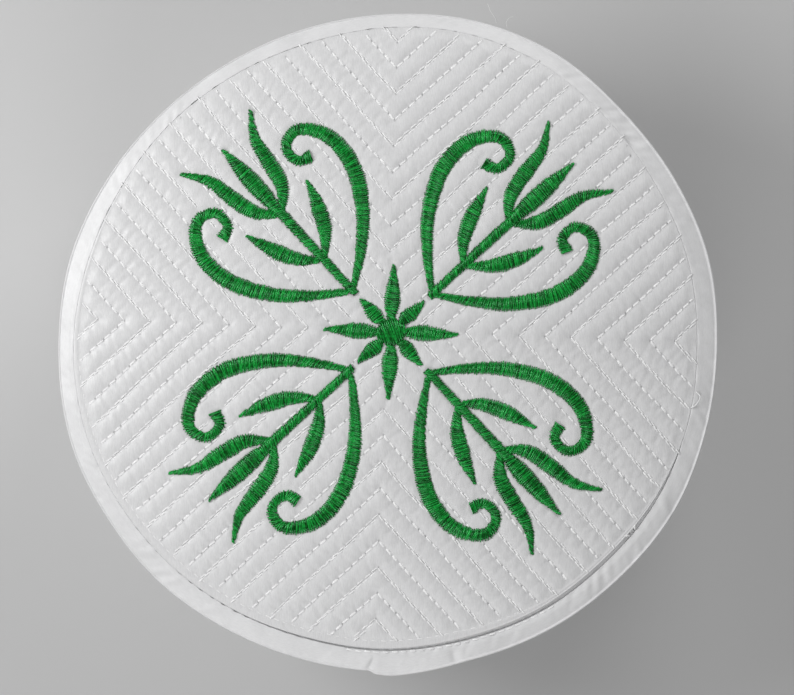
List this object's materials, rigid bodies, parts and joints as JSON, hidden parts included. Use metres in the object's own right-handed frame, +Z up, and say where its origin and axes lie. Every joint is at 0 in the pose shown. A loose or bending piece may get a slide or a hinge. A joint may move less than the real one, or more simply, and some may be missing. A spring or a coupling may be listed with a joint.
{
  "type": "taqiyah",
  "caption": "Round flat-topped prayer cap of white satin with a quilted crown, a plain turned side band and a raised green floral embroidery.",
  "frame": {"origin": "centre of the cap's box at the height of the hem's lower edge, which stands on the surface", "axes": "+Z up through the crown, +Y towards the front, +X towards the wearer's right; the lapped seam is at the back, at -Y"},
  "size_m": [0.1864, 0.1872, 0.0758],
  "materials": {
    "quilted_satin": "white satin, quilted",
    "plain_satin": "white satin, pressed",
    "green_thread": "glossy embroidery thread"
  },
  "bodies": {
    "root": {"crown_panel": "quilted_satin", "side_band": "plain_satin", "embroidered_rosette": "green_thread", "embroidered_spray_1": "green_thread", "embroidered_spray_2": "green_thread", "embroidered_spray_3": "green_thread", "embroidered_spray_4": "green_thread"}
  },
  "joints": []
}
